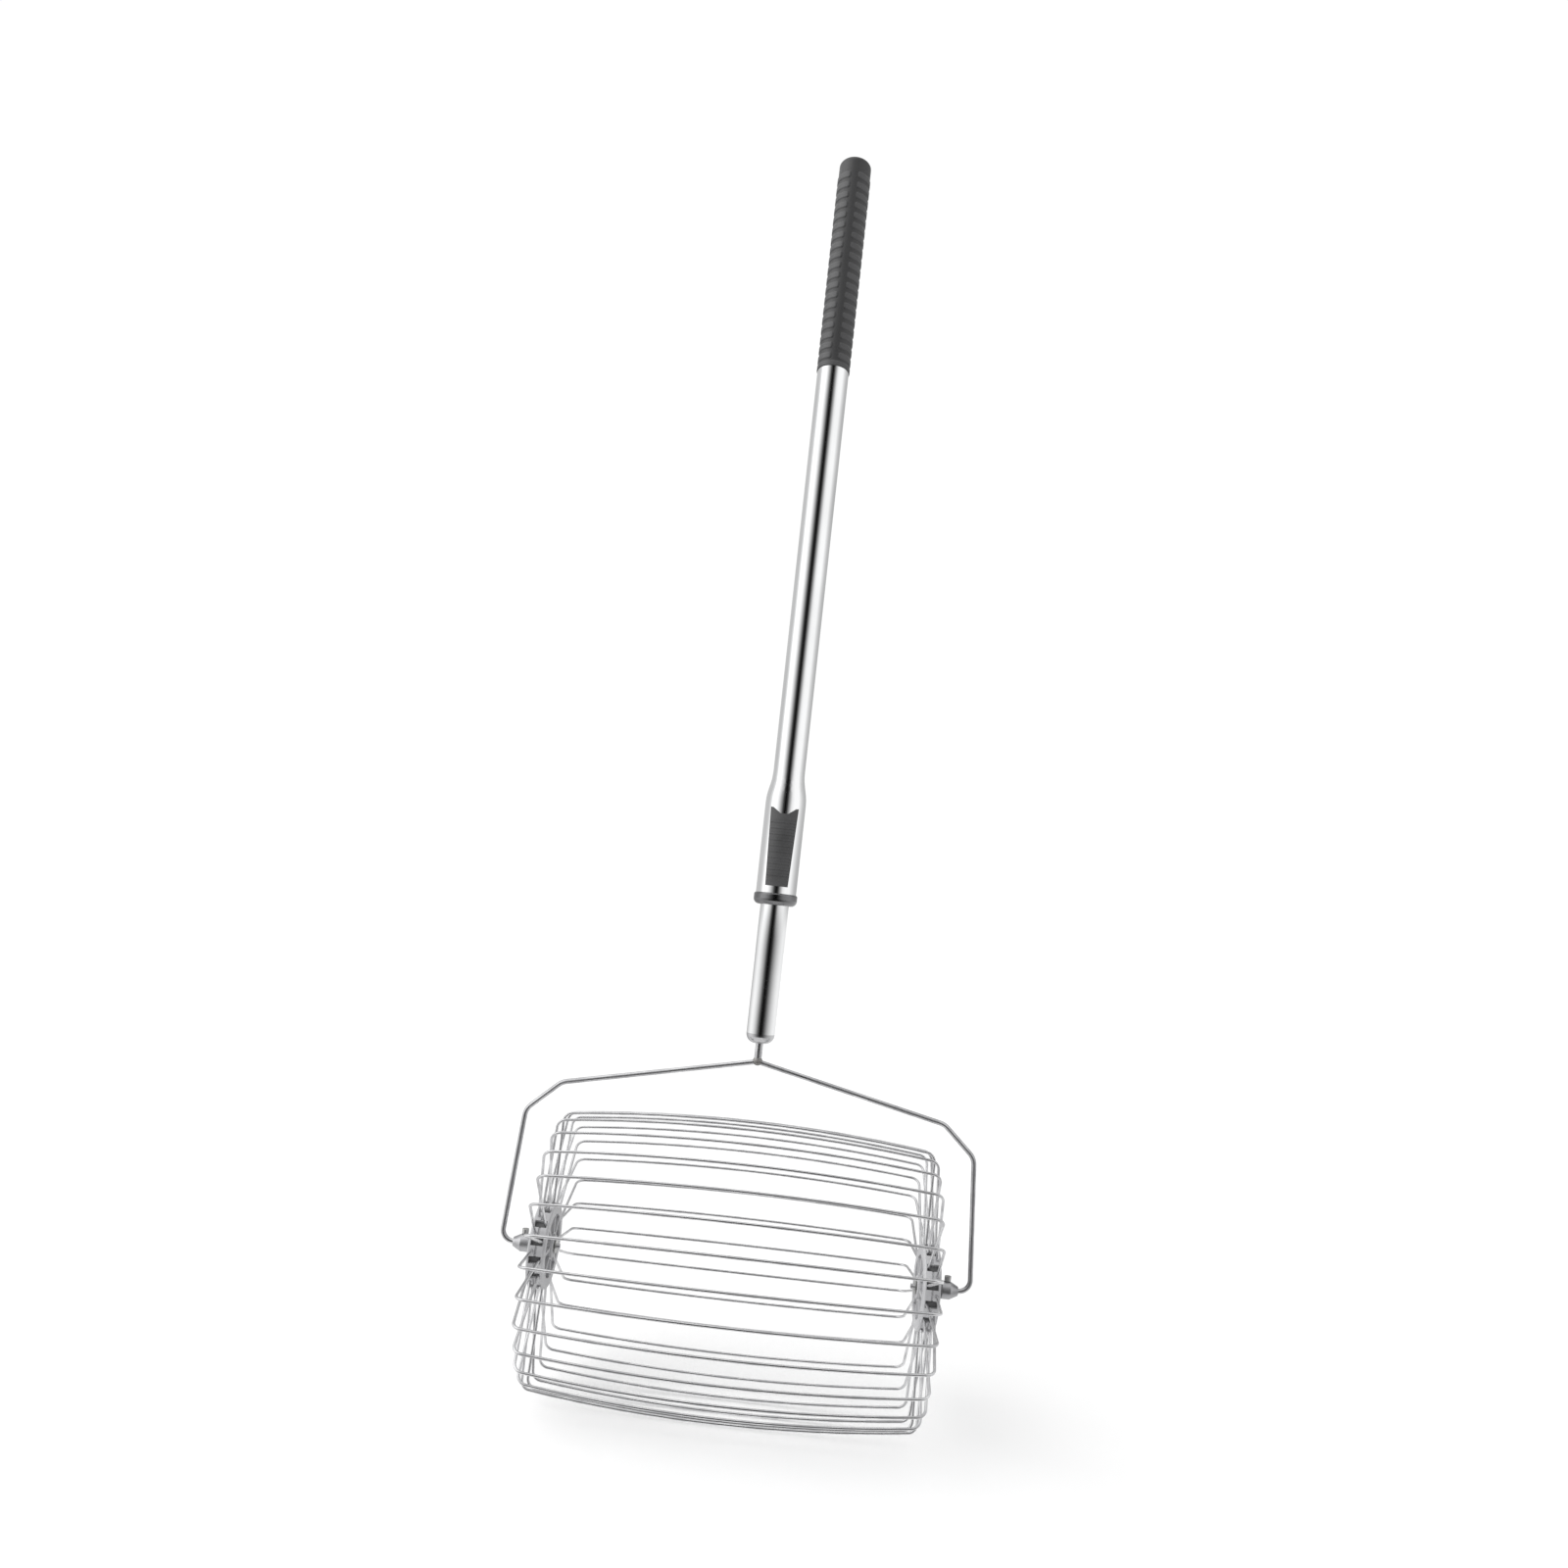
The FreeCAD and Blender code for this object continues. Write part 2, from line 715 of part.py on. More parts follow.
def button_spring():
    """The small coil that pushes the button back up, at the length it has with the button down."""
    coil_radius = 1.2
    coil_y = -13.2
    spring_wire = 0.22
    bottom = channel_bottom + spring_wire + fixed_gap
    top = crossbar_bottom - button_travel - moving_gap - spring_wire
    length = top - bottom
    turns = 9
    helix = Part.makeHelix(length / turns, length, coil_radius)
    helix.translate(Vector(0, coil_y, bottom))
    edge = helix.Edges[0]
    section = Part.Wire([Part.makeCircle(spring_wire, edge.valueAt(edge.FirstParameter),
                                         edge.tangentAt(edge.FirstParameter))])
    return Part.Wire(helix.Edges).makePipeShell([section], True, True)


def grip():
    """The soft sleeve: raised bars in rows, left plain along the front and the back."""
    bore = neck_radius
    valley = grip_radius - rib_relief
    rib_height = 4.6
    rib_count = 19
    rib_slope = 0.9
    rib_root = valley - 0.3
    first_rib = grip_bottom + 6.0
    band_top = grip_bottom + 3.0
    band_edge = 0.6
    body = turned_about_z([
        (upper_tube_radius, grip_bottom),
        (valley, grip_bottom),
        (grip_radius, grip_bottom + band_edge),
        (grip_radius, band_top),
        (valley, band_top + band_edge),
        (valley, grip_top),
        (bore, grip_top),
        (bore, grip_bottom + neck_slope),
    ])
    ribs = []
    for index in range(rib_count):
        low = first_rib + index * rib_pitch
        high = low + rib_height
        ring = turned_about_z([
            (rib_root, low),
            (valley, low),
            (grip_radius, low + rib_slope),
            (grip_radius, high - rib_slope),
            (valley, high),
            (rib_root, high),
        ])
        strip = box((-plain_strip_half_width, -grip_radius - spare, low - spare),
                    (plain_strip_half_width, grip_radius + spare, high + spare))
        ribs.append(ring.cut(strip))
    return body.fuse(ribs).removeSplitter()


def grip_cap():
    """The rounded end of the grip, plugged into the upper tube."""
    bore = neck_radius - upper_tube_wall
    plug_bottom = grip_top - 18.0
    edge = 4.4
    knee_in = edge * (1 - math.sqrt(0.5))
    rim = Vector(grip_radius, 0, grip_cap_top - edge)
    crown = Vector(grip_radius - edge, 0, grip_cap_top)
    knee = Vector(grip_radius - knee_in, 0, grip_cap_top - knee_in)
    corners = [
        crown,
        Vector(0, 0, grip_cap_top),
        Vector(0, 0, plug_bottom),
        Vector(bore, 0, plug_bottom),
        Vector(bore, 0, grip_top),
        Vector(grip_radius, 0, grip_top),
        rim,
    ]
    edges = [Part.makeLine(corners[i], corners[i + 1]) for i in range(len(corners) - 1)]
    edges.append(Part.Arc(rim, knee, crown).toShape())
    return Part.Face(Part.Wire(edges)).revolve(Vector(0, 0, 0), Z_AXIS, 360)


yoke = yoke_wire()
stem_bar = stem(yoke)
save("yoke_wire", above_axle(yoke))
save("stem", above_axle(stem_bar))
save("weld_bead", above_axle(weld_bead(yoke, stem_bar)))
save("lower_end_cap", above_axle(lower_end_cap()))
save("lower_tube", above_axle(lower_tube()))
save("guide_plug", above_axle(guide_plug()))
save("upper_tube", above_axle(upper_tube()))
save("collar_ring", above_axle(collar_ring()))
save("guide_bush", above_axle(guide_bush()))
save("latch_housing", above_axle(latch_housing()))
save("release_button", above_axle(release_button()))
save("lock_pin", above_axle(lock_pin()))
save("button_spring", above_axle(button_spring()))
save("grip", above_axle(grip()))
save("grip_cap", above_axle(grip_cap()))
pair("hub_left", "hub_right", right_hub())
pair("hub_core_left", "hub_core_right", right_hub_core())
pair("hub_bush_left", "hub_bush_right", right_hub_bush())
pair("thrust_washer_left", "thrust_washer_right", right_thrust_washer())
pair("stop_sleeve_left", "stop_sleeve_right", right_stop_sleeve())
pair("set_screw_left", "set_screw_right", right_set_screw(yoke))
pair("axle_clip_left", "axle_clip_right", right_axle_clip())
make_cage_wires()
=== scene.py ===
"""Looks of the rolling nut gatherer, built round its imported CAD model. Metres, in the row frame."""
import math

import bmesh
import bpy
from mathutils import Matrix, Vector


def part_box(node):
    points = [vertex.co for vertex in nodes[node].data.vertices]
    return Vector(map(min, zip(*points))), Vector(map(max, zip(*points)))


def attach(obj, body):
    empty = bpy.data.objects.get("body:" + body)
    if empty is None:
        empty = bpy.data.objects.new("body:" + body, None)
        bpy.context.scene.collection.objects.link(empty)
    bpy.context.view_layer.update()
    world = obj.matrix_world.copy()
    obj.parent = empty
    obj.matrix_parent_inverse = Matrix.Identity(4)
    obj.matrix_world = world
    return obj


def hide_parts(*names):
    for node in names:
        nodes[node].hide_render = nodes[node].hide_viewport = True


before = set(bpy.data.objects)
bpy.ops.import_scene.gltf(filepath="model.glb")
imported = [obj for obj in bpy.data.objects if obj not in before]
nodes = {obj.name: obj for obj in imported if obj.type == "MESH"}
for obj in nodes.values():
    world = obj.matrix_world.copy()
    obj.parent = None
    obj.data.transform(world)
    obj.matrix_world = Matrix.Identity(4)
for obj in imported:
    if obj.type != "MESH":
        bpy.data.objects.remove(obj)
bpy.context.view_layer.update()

TAU = 2 * math.pi
MM = 0.001


def middle(node):
    """The middle of a CAD node's box."""
    low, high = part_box(node)
    return (low + high) / 2


AXLE_Z = middle("hub_right").z
LATCH_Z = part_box("collar_ring")[1].z      # the level of the sleeve's mouth
DOME = 2.2                                 # radius of the reflected studio
BACKDROP = 14.0                            # radius of the white backdrop
FLOOR_REACH = 13.0


# ---------------------------------------------------------------- material helpers
class Surface:
    """A Principled material under construction, with short names for the nodes it uses."""

    def __init__(self, name):
        self.material = bpy.data.materials.new(name)
        self.material.use_nodes = True
        self.tree = self.material.node_tree
        self.shader = self.tree.nodes["Principled BSDF"]

    def node(self, kind, **settings):
        made = self.tree.nodes.new(kind)
        for key, value in settings.items():
            setattr(made, key, value)
        return made

    def join(self, output, target):
        self.tree.links.new(output, target)

    def set(self, **values):
        """Constant values on the shader's own sockets; underscores stand for spaces."""
        for key, value in values.items():
            self.shader.inputs[key.replace("_", " ")].default_value = value

    def place(self, stretch=(1, 1, 1)):
        """Object coordinates in metres, stretched along the axes."""
        coordinates = self.node("ShaderNodeTexCoord")
        mapping = self.node("ShaderNodeMapping")
        mapping.inputs["Scale"].default_value = stretch
        self.join(coordinates.outputs["Object"], mapping.inputs["Vector"])
        return mapping.outputs["Vector"]

    def noise(self, scale, detail=3.0, stretch=(1, 1, 1), roughness=0.5):
        texture = self.node("ShaderNodeTexNoise")
        texture.inputs["Scale"].default_value = scale
        texture.inputs["Detail"].default_value = detail
        texture.inputs["Roughness"].default_value = roughness
        self.join(self.place(stretch), texture.inputs["Vector"])
        return texture.outputs["Fac"]

    def cells(self, scale):
        texture = self.node("ShaderNodeTexVoronoi")
        texture.inputs["Scale"].default_value = scale
        self.join(self.place(), texture.inputs["Vector"])
        return texture.outputs["Distance"]

    def span(self, value, low, high, start=0.35, end=0.65):
        """Maps a texture's useful range onto low..high."""
        mapped = self.node("ShaderNodeMapRange")
        mapped.inputs["From Min"].default_value = start
        mapped.inputs["From Max"].default_value = end
        mapped.inputs["To Min"].default_value = low
        mapped.inputs["To Max"].default_value = high
        self.join(value, mapped.inputs["Value"])
        return mapped.outputs["Result"]

    def combine(self, first, second, operation="ADD"):
        maths = self.node("ShaderNodeMath", operation=operation)
        self.join(first, maths.inputs[0])
        self.join(second, maths.inputs[1])
        return maths.outputs["Value"]

    def colours(self, value, dark, light):
        """Blends two tones by a texture and drives the base colour."""
        mix = self.node("ShaderNodeMix", data_type="RGBA")
        mix.inputs[6].default_value = (*dark, 1)
        mix.inputs[7].default_value = (*light, 1)
        self.join(value, mix.inputs[0])
        self.join(mix.outputs[2], self.shader.inputs["Base Color"])

    def rough(self, value):
        self.join(value, self.shader.inputs["Roughness"])

    def bump(self, height, distance):
        """Raises the surface by a texture; distance is in metres."""
        bump = self.node("ShaderNodeBump")
        bump.inputs["Strength"].default_value = 1.0
        bump.inputs["Distance"].default_value = distance
        self.join(height, bump.inputs["Height"])
        self.join(bump.outputs["Normal"], self.shader.inputs["Normal"])


# ---------------------------------------------------------------- materials
def polished_tube(name, rough_low, rough_high):
    """Polished stainless tube: faint lengthwise polishing lines and small smudges."""
    s = Surface(name)
    s.set(Metallic=1.0)
    lines = s.noise(scale=900, detail=2.0, stretch=(1, 1, 0.02))
    smudges = s.noise(scale=18, detail=4.0)
    s.colours(s.span(smudges, 0, 1), (0.86, 0.865, 0.87), (0.93, 0.935, 0.94))
    s.rough(s.combine(s.span(smudges, rough_low, rough_high), s.span(lines, 0.0, 0.02)))
    s.bump(lines, 0.0015 * MM)
    return s.material


def drawn_wire(name, dark, light, rough_low, rough_high, along):
    """Drawn steel wire: streaks along the wire and a mottled, slightly dulled skin."""
    s = Surface(name)
    s.set(Metallic=1.0)
    streaks = s.noise(scale=1400, detail=2.0, stretch=along)
    grain = s.noise(scale=420)
    mottle = s.noise(scale=55, detail=5.0, roughness=0.6)
    s.colours(s.span(mottle, 0, 1), dark, light)
    s.rough(s.span(mottle, rough_high, rough_low))
    s.bump(s.combine(streaks, grain), 0.02 * MM)
    return s.material


def moulded_plastic(name, dark, light, rough_low, rough_high, grain):
    """Moulded plastic: eroded-mould grain, cloudy tone and patchy gloss."""
    s = Surface(name)
    cloud = s.noise(scale=40, detail=4.0)
    fine = s.noise(scale=grain, detail=2.0)
    s.set(IOR=1.5)
    s.colours(s.span(cloud, 0, 1), dark, light)
    s.rough(s.combine(s.span(cloud, rough_low, rough_high), s.span(fine, 0, 0.05)))
    s.bump(fine, 0.03 * MM)
    return s.material


def soft_rubber(name):
    """Grip rubber: fine grain, patchy gloss, and a patchy painted highlight that lightens the raised
    bars.
    """
    s = Surface(name)
    s.set(IOR=1.5)
    cloud = s.noise(scale=60, detail=5.0)
    grain = s.noise(scale=2600, detail=2.0)
    relief = s.node("ShaderNodeAttribute", attribute_name="relief").outputs["Fac"]
    # Painted highlight: the raised bars are coloured lighter, in patches, for the light they catch.
    bar_highlight = s.combine(relief, s.span(cloud, 0.55, 1.0), "MULTIPLY")
    s.colours(bar_highlight, (0.026, 0.026, 0.027), (0.056, 0.056, 0.058))
    s.rough(s.span(cloud, 0.4, 0.5))
    s.bump(s.combine(grain, s.cells(scale=1800)), 0.04 * MM)
    return s.material


def turned_metal(name, dark, light):
    """Lathe-turned metal: fine rings round the X axis."""
    s = Surface(name)
    s.set(Metallic=1.0)
    rings = s.noise(scale=700, detail=2.0, stretch=(3, 0.02, 0.02))
    cloud = s.noise(scale=90, detail=4.0)
    s.colours(s.span(cloud, 0, 1), dark, light)
    s.rough(s.combine(s.span(cloud, 0.28, 0.42), s.span(rings, 0, 0.08)))
    s.bump(rings, 0.02 * MM)
    return s.material


def dark_chrome(name):
    """Black-chromed metal: dark, glossy, with a faint cloudy haze and fine wipe marks."""
    s = Surface(name)
    s.set(Metallic=1.0)
    haze = s.noise(scale=70, detail=4.0)
    wipes = s.noise(scale=500, detail=2.0, stretch=(1, 1, 6))
    s.colours(s.span(haze, 0, 1), (0.17, 0.17, 0.175), (0.23, 0.23, 0.235))
    s.rough(s.combine(s.span(haze, 0.12, 0.2), s.span(wipes, 0.0, 0.05)))
    s.bump(wipes, 0.008 * MM)
    return s.material


def weld_metal(name):
    """A weld bead: heat-tinted, scaly and rough."""
    s = Surface(name)
    s.set(Metallic=1.0)
    scales = s.noise(scale=900, detail=4.0)
    s.colours(s.span(scales, 0, 1), (0.16, 0.155, 0.15), (0.4, 0.39, 0.38))
    s.rough(s.span(scales, 0.4, 0.65))
    s.bump(scales, 0.1 * MM)
    return s.material


TUBE = polished_tube("polished_upper_tube", rough_low=0.03, rough_high=0.07)
LOWER = polished_tube("polished_lower_tube", rough_low=0.06, rough_high=0.12)
END_CAP = drawn_wire("pressed_end_cap", dark=(0.5, 0.5, 0.51), light=(0.6, 0.6, 0.61),
                     rough_low=0.16, rough_high=0.24, along=(1, 1, 0.2))
CAGE_WIRE = drawn_wire("spring_wire", dark=(0.5, 0.5, 0.51), light=(0.76, 0.76, 0.77),
                       rough_low=0.2, rough_high=0.38, along=(0.03, 1, 1))
YOKE_WIRE = drawn_wire("yoke_wire", dark=(0.42, 0.42, 0.43), light=(0.66, 0.66, 0.67),
                       rough_low=0.24, rough_high=0.42, along=(0.2, 1, 0.2))
HUB = moulded_plastic("hub_plastic", dark=(0.36, 0.36, 0.37), light=(0.46, 0.46, 0.47),
                      rough_low=0.38, rough_high=0.5, grain=2200)
NYLON = moulded_plastic("nylon", dark=(0.62, 0.61, 0.58), light=(0.74, 0.73, 0.7),
                        rough_low=0.35, rough_high=0.45, grain=1800)
# Painted shade: the hub cores are coloured near-black to stand in for the shade deep in the hub's
# windows.
PAINTED_SHADE_CORE = moulded_plastic("core_plastic", dark=(0.07, 0.07, 0.072), light=(0.1, 0.1, 0.102),
                       rough_low=0.45, rough_high=0.6, grain=2400)
COLLAR = dark_chrome("black_chrome")
BUTTON = moulded_plastic("button_plastic", dark=(0.048, 0.048, 0.049), light=(0.064, 0.064, 0.066),
                         rough_low=0.45, rough_high=0.58, grain=3000)
RUBBER = soft_rubber("grip_rubber")
SLEEVE = turned_metal("stop_sleeve_metal", dark=(0.34, 0.34, 0.35), light=(0.5, 0.5, 0.51))
ZINC = turned_metal("zinc_plated", dark=(0.45, 0.45, 0.44), light=(0.62, 0.62, 0.61))
WELD = weld_metal("weld")

FINISH = {
    "upper_tube": TUBE,
    "lower_tube": LOWER,
    "lower_end_cap": END_CAP,
    "stem": YOKE_WIRE,
    "weld_bead": WELD,
    "yoke_wire": YOKE_WIRE,
    "guide_plug": NYLON,
    "guide_bush": NYLON,
    "latch_housing": NYLON,
    "collar_ring": COLLAR,
    "release_button": BUTTON,
    "lock_pin": ZINC,
    "button_spring": ZINC,
    "grip": RUBBER,
    "grip_cap": RUBBER,
}
for side in ("left", "right"):
    FINISH["hub_" + side] = HUB
    # The cores take the near-black colour that serves as painted shade in the hub's windows.
    FINISH["hub_core_" + side] = PAINTED_SHADE_CORE
    FINISH["hub_bush_" + side] = NYLON
    FINISH["thrust_washer_" + side] = ZINC
    FINISH["stop_sleeve_" + side] = SLEEVE
    FINISH["set_screw_" + side] = ZINC
    FINISH["axle_clip_" + side] = ZINC


def smooth_step(value):
    value = min(max(value, 0.0), 1.0)
    return value * value * (3 - 2 * value)


# ---------------------------------------------------------------- rubber grip
NECK = 11.0 * MM               # radius of the bore inside the grip
POLE = 12.5 * MM               # radius of the upper tube, just below the grip
POLE_GAP = 0.05 * MM
NECK_SLOPE = 2 * MM
GRIP_LIP = 0.5 * MM            # rounding of the grip's lower edge
GRIP_EDGE = 4.4 * MM           # rounding of the closed top
CROWN = 0.8 * MM               # how far the top's middle stands above that rounding
PLUG_DEPTH = 3 * MM
RELIEF = 0.5 * MM              # how far the bars stand up
BAND = 3.3 * MM                # height of the raised band round the lower end
BAR_COUNT = 19
BAR_PITCH = 8.0 * MM
BAR_HALF = 2.35 * MM
BAR_SOFT = 1.1 * MM            # width of the bars' soft edges
BAR_ROUND = 1.4 * MM           # rounding of the bars' ends
BAR_FADE = 2 * MM              # the bars fade out over this at the rounded top
FIRST_BAR = 8.3 * MM           # middle of the first bar over the grip's lower end
STRIP_HALF = 3.3 * MM          # half the width of the plain strips at the front and the back


def bar_height(arc, z, foot):
    """How far the bars stand up, 0 to 1; arc is counted from the middle of a plain strip."""
    band_top = foot + BAND
    if z < band_top + BAR_SOFT:
        return smooth_step((band_top + BAR_SOFT - z) / BAR_SOFT)
    first_bar = foot + FIRST_BAR
    index = min(max(round((z - first_bar) / BAR_PITCH), 0), BAR_COUNT - 1)
    across = abs(z - first_bar - index * BAR_PITCH) - (BAR_HALF - BAR_ROUND)
    inwards = STRIP_HALF + BAR_ROUND - arc
    outside = math.hypot(max(across, 0), max(inwards, 0)) - BAR_ROUND
    return smooth_step(0.5 - outside / BAR_SOFT)


def grip_outline(foot, top, valley):
    """The grip's outline without its bars, as (radius, height), from the bore round to the top."""
    side_rows = 420
    lip_rows = 5
    edge_rows = 12
    crown_rows = 5
    side_low = foot + GRIP_LIP
    side_high = top - GRIP_EDGE
    rows = [(NECK, foot + NECK_SLOPE), (POLE + POLE_GAP, foot)]
    for step in range(1, lip_rows + 1):
        angle = TAU / 4 * step / lip_rows
        rows.append((valley - GRIP_LIP * (1 - math.sin(angle)), foot + GRIP_LIP * (1 - math.cos(angle))))
    for step in range(1, side_rows + 1):
        rows.append((valley, side_low + (side_high - side_low) * step / side_rows))
    for step in range(1, edge_rows + 1):
        angle = TAU / 4 * step / edge_rows
        inwards = GRIP_EDGE * (1 - math.cos(angle))
        rows.append((valley - inwards, side_high + (GRIP_EDGE - CROWN) * math.sin(angle)))
    inner_radius = rows[-1][0]
    for step in range(1, crown_rows + 1):
        share = step / (crown_rows + 1)
        rows.append((inner_radius * (1 - share), top - CROWN * (1 - share) ** 2))
    return rows


def make_grip():
    """The rubber grip as one moulding: round-ended raised bars, plain strips, and a closed top."""
    low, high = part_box("grip")
    foot = low.z
    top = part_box("grip_cap")[1].z
    radius = (high.x - low.x) / 2
    fade_end = top - GRIP_EDGE + BAR_FADE
    around = 160

    mesh = bpy.data.meshes.new("rubber_grip")
    shape = bmesh.new()
    layer = shape.verts.layers.float.new("relief")
    rings = []
    for base, z in grip_outline(foot, top, radius - RELIEF):
        ring = []
        barred = base > POLE and z > foot
        fade = smooth_step((fade_end - z) / BAR_FADE) if barred else 0
        for index in range(around):
            angle = TAU * index / around
            arc = abs(math.remainder(angle, TAU / 2)) * radius
            up = bar_height(arc, z, foot) * fade
            reach = base + RELIEF * up
            vert = shape.verts.new((reach * math.sin(angle), -reach * math.cos(angle), z))
            vert[layer] = up
            ring.append(vert)
        rings.append(ring)
    for lower, upper in zip(rings, rings[1:]):
        for index in range(around):
            after = (index + 1) % around
            shape.faces.new((lower[index], lower[after], upper[after], upper[index]))
    crown = shape.verts.new((0, 0, top))
    bore_top = high.z - PLUG_DEPTH
    bore = [shape.verts.new((vert.co.x, vert.co.y, bore_top)) for vert in rings[0]]
    plug = shape.verts.new((0, 0, bore_top))
    for index in range(around):
        after = (index + 1) % around
        shape.faces.new((rings[-1][index], rings[-1][after], crown))
        shape.faces.new((rings[0][after], rings[0][index], bore[index], bore[after]))
        shape.faces.new((bore[after], bore[index], plug))
    for face in shape.faces:
        face.smooth = True
    shape.to_mesh(mesh)
    shape.free()
    mesh.materials.append(RUBBER)
    grip = bpy.data.objects.new("rubber_grip", mesh)
    bpy.context.scene.collection.objects.link(grip)
    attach(grip, "handle")
    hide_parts("grip", "grip_cap")


def finish_cad_nodes():
    """Gives every CAD node that shows its detailed material."""
    for name, piece in nodes.items():
        material = FINISH.get(name, CAGE_WIRE)
        for slot in piece.material_slots:
            slot.material = material


# ---------------------------------------------------------------- studio
def staged(name, mesh, material, seen_by):
    """A studio object, seen only by the kinds of ray named in seen_by."""
    mesh.materials.append(material)
    made = bpy.data.objects.new(name, mesh)
    bpy.context.scene.collection.objects.link(made)
    for kind in ("camera", "diffuse", "glossy", "transmission", "shadow", "volume_scatter"):
        setattr(made, "visible_" + kind, kind in seen_by)
    return made


def dome_mesh(name, radius):
    mesh = bpy.data.meshes.new(name)
    ball = bmesh.new()
    bmesh.ops.create_uvsphere(ball, u_segments=64, v_segments=32, radius=radius)
    ball.to_mesh(mesh)
    ball.free()
    return mesh


def glow(name):
    """An emission material; returns the material, its tree and its emission node."""
    material = bpy.data.materials.new(name)
    material.use_nodes = True
    tree = material.node_tree
    tree.nodes.remove(tree.nodes["Principled BSDF"])
    emission = tree.nodes.new("ShaderNodeEmission")
    tree.links.new(emission.outputs["Emission"], tree.nodes["Material Output"].inputs["Surface"])
    material.cycles.emission_sampling = "NONE"
    return material, tree, emission


def make_world():
    """Even white light from all round, for everything but mirror-like reflections."""
    world = bpy.data.worlds.new("soft_light")
    bpy.context.scene.world = world
    world.use_nodes = True
    background = world.node_tree.nodes["Background"]
    background.inputs["Color"].default_value = (1, 1, 1, 1)
    background.inputs["Strength"].default_value = 0.76
    world.cycles_visibility.glossy = False


def make_backdrop():
    material, tree, emission = glow("white_backdrop")
    emission.inputs["Strength"].default_value = 1.02
    staged("backdrop", dome_mesh("backdrop", BACKDROP), material, ("camera",))


def make_floor():
    s = Surface("pale_floor")
    cloud = s.noise(scale=3)
    s.colours(s.span(cloud, 0, 1), (0.94, 0.94, 0.94), (0.96, 0.96, 0.96))
    s.set(Roughness=0.9, Specular_IOR_Level=0.0)
    corners = [(FLOOR_REACH * x, FLOOR_REACH * y, 0) for x, y in ((-1, -1), (1, -1), (1, 1), (-1, 1))]
    mesh = bpy.data.meshes.new("floor")
    mesh.from_pydata(corners, [], [(0, 1, 2, 3)])
    staged("floor", mesh, s.material, ("camera", "diffuse", "transmission", "shadow"))


# Brightness round the reflected studio by azimuth in degrees, 0 towards the camera side (-Y),
# negative left. A black gap behind the camera makes the dark line down the tubes.
UPPER_WALL = (
    (-180, 0.6), (-108, 0.58), (-92, 0.8), (-80, 1.3), (-58, 1.3), (-40, 0.9), (-25, 0.4), (-12, 0.06),
    (0, 0.0), (11, 0.04), (23, 0.36), (38, 0.9), (52, 1.05), (80, 1.05), (96, 0.8), (118, 0.56),
    (145, 0.48), (180, 0.48),
)
LOWER_WALL = (
    (-180, 0.5), (-145, 0.55), (-122, 0.75), (-98, 1.0), (-82, 1.0), (-62, 0.8), (-45, 0.52), (-29, 0.2),
    (-14, 0.03), (0, 0.0), (16, 0.03), (31, 0.16), (46, 0.38), (64, 0.62), (88, 0.85), (112, 0.98),
    (150, 0.92), (180, 0.8),
)
NADIR = 1.05                               # brightness straight below, where the floor is
WALL_MEETING = 0.06                        # half the height over which the two walls blend
CEILING_FROM = 0.62 * DOME
CEILING_FULL = 0.8 * DOME
FLOOR_FROM = -0.54 * DOME
FLOOR_FULL = -0.72 * DOME


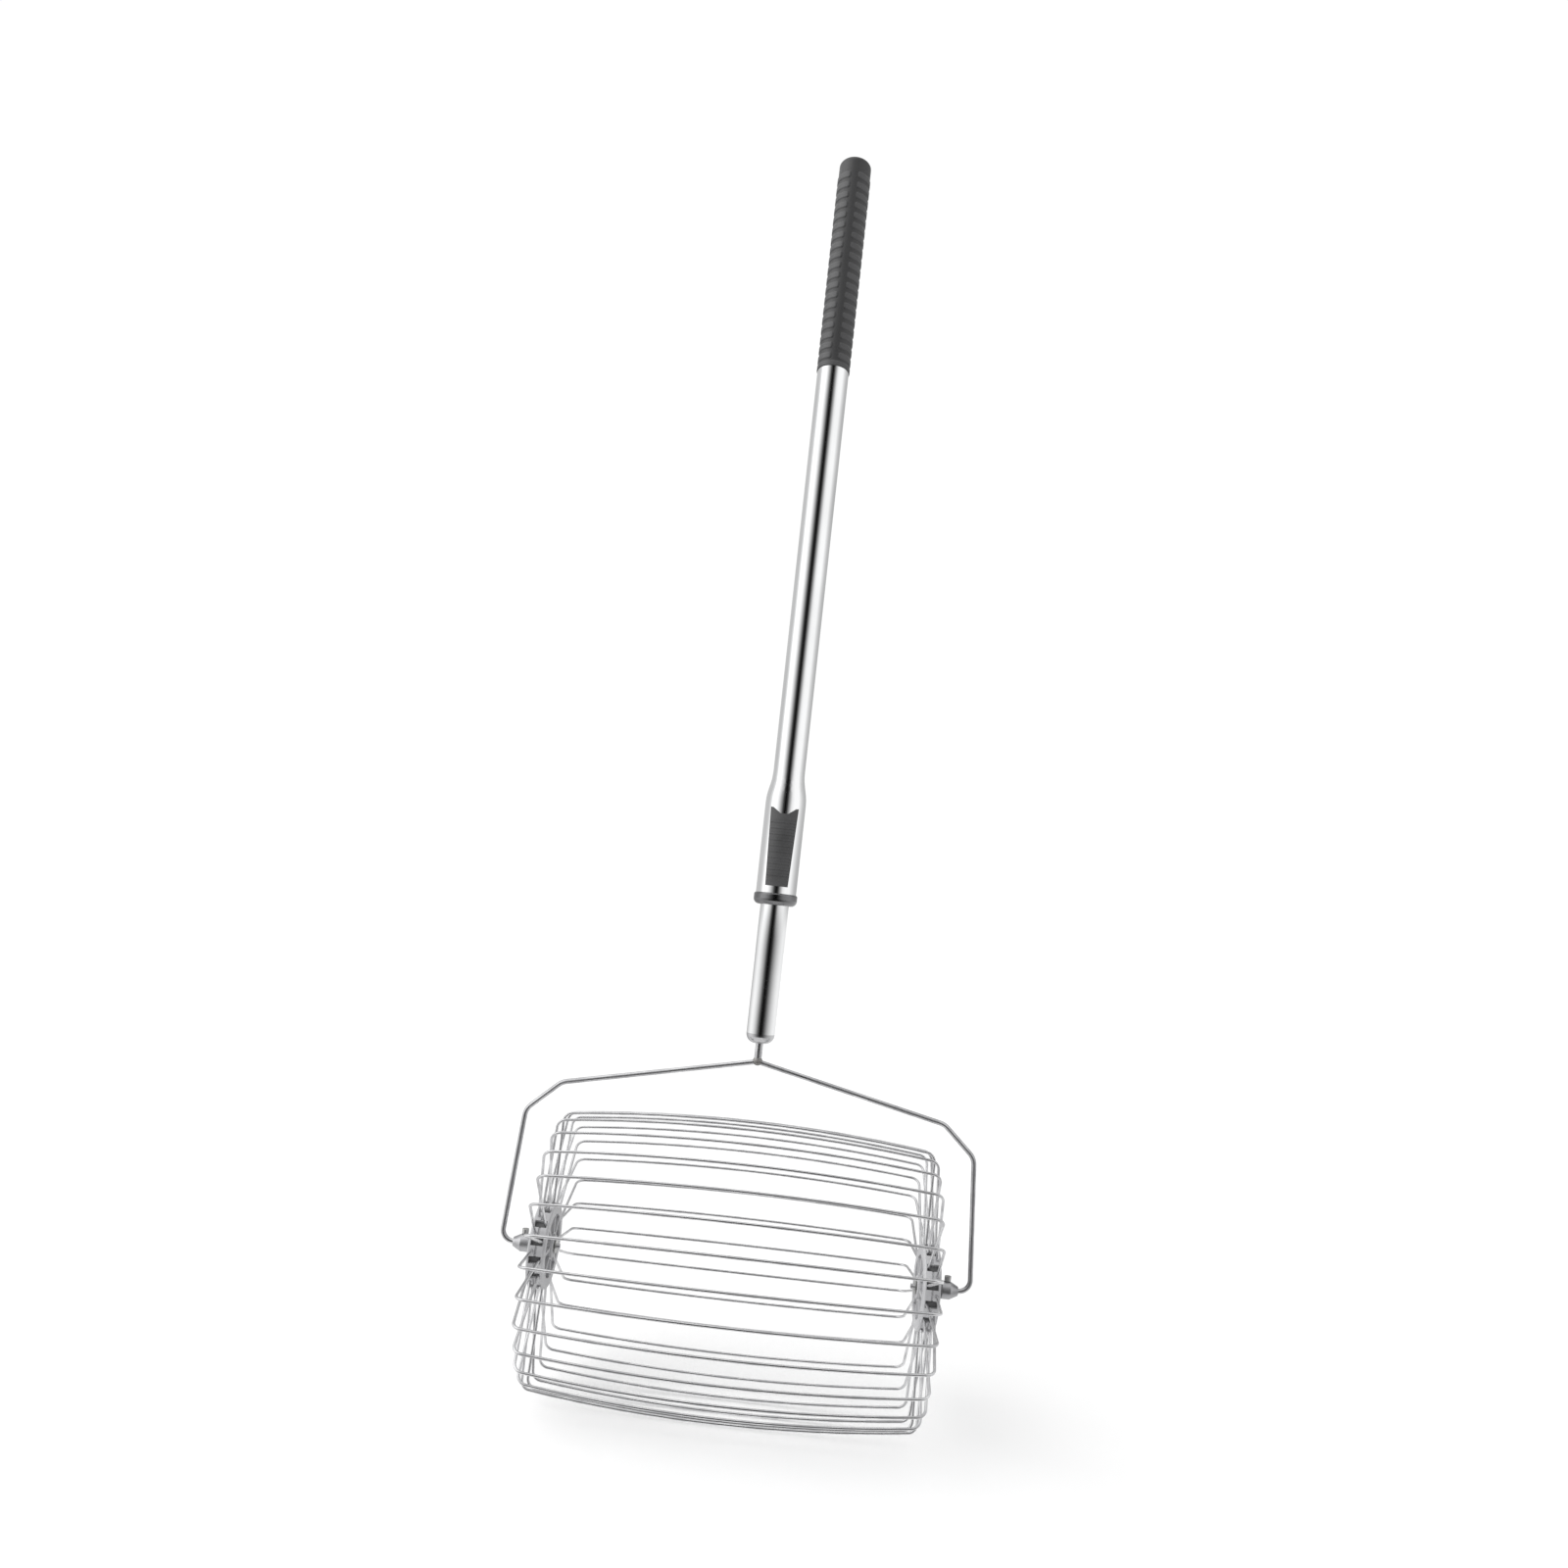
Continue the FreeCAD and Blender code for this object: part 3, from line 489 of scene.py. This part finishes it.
def make_reflections():
    """The studio walls, ceiling and floor as the shiny parts see them."""
    material, tree, emission = glow("studio_walls")
    link = tree.links.new

    def maths(operation, first, second=None, value=None):
        made = tree.nodes.new("ShaderNodeMath")
        made.operation = operation
        link(first, made.inputs[0])
        if second is not None:
            link(second, made.inputs[1])
        if value is not None:
            made.inputs[1].default_value = value
        return made.outputs[0]

    def smooth(source, low, high, start, end):
        made = tree.nodes.new("ShaderNodeMapRange")
        made.interpolation_type = "SMOOTHSTEP"
        for key, value in (("From Min", low), ("From Max", high), ("To Min", start), ("To Max", end)):
            made.inputs[key].default_value = value
        link(source, made.inputs["Value"])
        return made.outputs["Result"]

    def wall(stops, turn):
        made = tree.nodes.new("ShaderNodeValToRGB")
        elements = made.color_ramp.elements
        while len(elements) > 1:
            elements.remove(elements[-1])
        for index, (azimuth, level) in enumerate(stops):
            place = azimuth / 360 + 0.5
            element = elements[0] if index == 0 else elements.new(place)
            element.position = place
            element.color = (level, level, level, 1)
        link(turn, made.inputs["Fac"])
        return made.outputs["Color"]

    def blend(amount, first, second):
        made = tree.nodes.new("ShaderNodeMix")
        link(amount, made.inputs[0])
        link(first, made.inputs[2])
        link(second, made.inputs[3])
        return made.outputs[0]

    coordinates = tree.nodes.new("ShaderNodeTexCoord")
    parts = tree.nodes.new("ShaderNodeSeparateXYZ")
    link(coordinates.outputs["Object"], parts.inputs["Vector"])
    x, y, z = (parts.outputs[axis] for axis in "XYZ")
    azimuth = maths("ARCTAN2", x, maths("MULTIPLY", y, value=-1.0))
    turn = maths("ADD", maths("DIVIDE", azimuth, value=TAU), value=0.5)
    upper = smooth(z, -WALL_MEETING, WALL_MEETING, 0, 1)
    walls = blend(upper, wall(LOWER_WALL, turn), wall(UPPER_WALL, turn))
    ceiling = smooth(x, -DOME, DOME, 1.35, 0.75)
    below = smooth(x, -DOME, DOME, NADIR, NADIR * 0.9)
    level = blend(smooth(z, CEILING_FROM, CEILING_FULL, 0, 1), walls, ceiling)
    level = blend(smooth(z, FLOOR_FULL, FLOOR_FROM, 1, 0), level, below)
    link(level, emission.inputs["Strength"])
    dome = staged("studio_walls", dome_mesh("studio_walls", DOME), material, ("glossy",))
    dome.location = (0, 0, LATCH_Z)


def make_sun():
    """A very soft key light from the left of the camera."""
    light = bpy.data.lights.new("key", "SUN")
    light.energy = 2.1
    light.angle = math.radians(70)
    lamp = bpy.data.objects.new("key", light)
    lamp.rotation_euler = Vector((1.0, 0.33, -0.75)).to_track_quat("-Z", "Y").to_euler()
    bpy.context.scene.collection.objects.link(lamp)


def make_camera():
    """A close view, level with the middle of the tool and rolled a little."""
    data = bpy.data.cameras.new("camera")
    data.sensor_width = 36
    data.lens = 25
    data.shift_y = 0.08
    camera = bpy.data.objects.new("camera", data)
    place = Matrix.Translation((0.0161, -0.8617, AXLE_Z + 0.2731))
    heading = Matrix.Rotation(math.radians(0.557), 4, "Z")
    pitch = Matrix.Rotation(math.radians(90.71), 4, "X")
    roll = Matrix.Rotation(math.radians(6.254), 4, "Z")
    camera.matrix_world = place @ heading @ pitch @ roll
    bpy.context.scene.collection.objects.link(camera)
    bpy.context.scene.camera = camera


finish_cad_nodes()
make_grip()
make_world()
make_backdrop()
make_floor()
make_reflections()
make_sun()
make_camera()
bpy.context.scene.view_settings.view_transform = "Standard"
